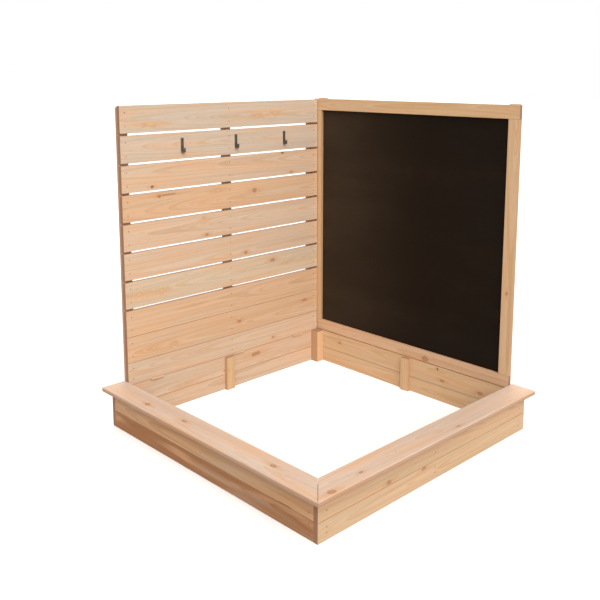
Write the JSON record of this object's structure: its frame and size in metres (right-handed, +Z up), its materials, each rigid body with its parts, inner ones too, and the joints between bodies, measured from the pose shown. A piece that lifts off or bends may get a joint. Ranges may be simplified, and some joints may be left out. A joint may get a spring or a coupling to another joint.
{
  "type": "sandbox with cover",
  "caption": "Square wooden sandbox with corner benches, a fold-down slatted cover wall with coat hooks and a fixed chalkboard wall.",
  "frame": {"origin": "middle of the footprint's bounding box, on the ground", "axes": "+X from the folding slatted wall towards the right bench, +Y from the front bench towards the chalkboard wall, +Z up"},
  "size_m": [1.261, 1.261, 1.326],
  "materials": {
    "box_pine": "planed untreated pine, satin",
    "bench_pine": "planed untreated pine with rounded edges",
    "cover_pine": "planed untreated pine slats",
    "frame_pine": "planed untreated pine",
    "chalkboard": "matt black writing surface",
    "zinc": "zinc plated steel strip",
    "fastener": "plain steel, slightly dull"
  },
  "bodies": {
    "box": {"left_board_lower": "box_pine", "left_board_upper": "box_pine", "right_board_lower": "box_pine", "right_board_upper": "box_pine", "front_board_lower": "box_pine", "front_board_upper": "box_pine", "back_board_lower": "box_pine", "back_board_upper": "box_pine", "post_front_left": "box_pine", "post_front_right": "box_pine", "post_back_left": "box_pine", "post_back_right": "box_pine", "side_batten_left": "box_pine", "side_batten_right": "box_pine", "side_batten_front": "box_pine", "side_batten_back": "box_pine", "bench_front": "bench_pine", "bench_right": "bench_pine", "box_nails": "fastener", "bench_nails": "fastener", "hinge_leaf_box_1": "zinc", "hinge_leaf_box_2": "zinc", "hinge_leaf_box_3": "zinc", "hinge_pin_1": "fastener", "hinge_pin_2": "fastener", "hinge_pin_3": "fastener", "hinge_screws_box": "fastener", "chalk_rail_top": "frame_pine", "chalk_rail_bottom": "frame_pine", "chalk_stile_left": "frame_pine", "chalk_stile_right": "frame_pine", "chalk_panel": "chalkboard", "frame_dowels": "frame_pine", "wall_post_left": "frame_pine", "wall_post_right": "frame_pine", "wall_post_screws": "fastener"},
    "cover": {"slat_1": "cover_pine", "slat_2": "cover_pine", "slat_3": "cover_pine", "slat_4": "cover_pine", "slat_5": "cover_pine", "slat_6": "cover_pine", "slat_7": "cover_pine", "slat_8": "cover_pine", "slat_9": "cover_pine", "slat_10": "cover_pine", "cover_batten_front": "cover_pine", "cover_batten_middle": "cover_pine", "cover_batten_back": "cover_pine", "slat_nails": "fastener", "hook_1": "zinc", "hook_2": "zinc", "hook_3": "zinc", "hook_screws": "fastener", "hinge_leaf_cover_1": "zinc", "hinge_leaf_cover_2": "zinc", "hinge_leaf_cover_3": "zinc", "hinge_screws_cover": "fastener"}
  },
  "joints": [
    {"name": "cover_fold", "type": "hinge", "parent": "box", "child": "cover", "pos_m": [-0.5907, 0.0355, 0.1575], "axis": [0, 1, 0], "range_deg": [0, 89.2]}
  ]
}
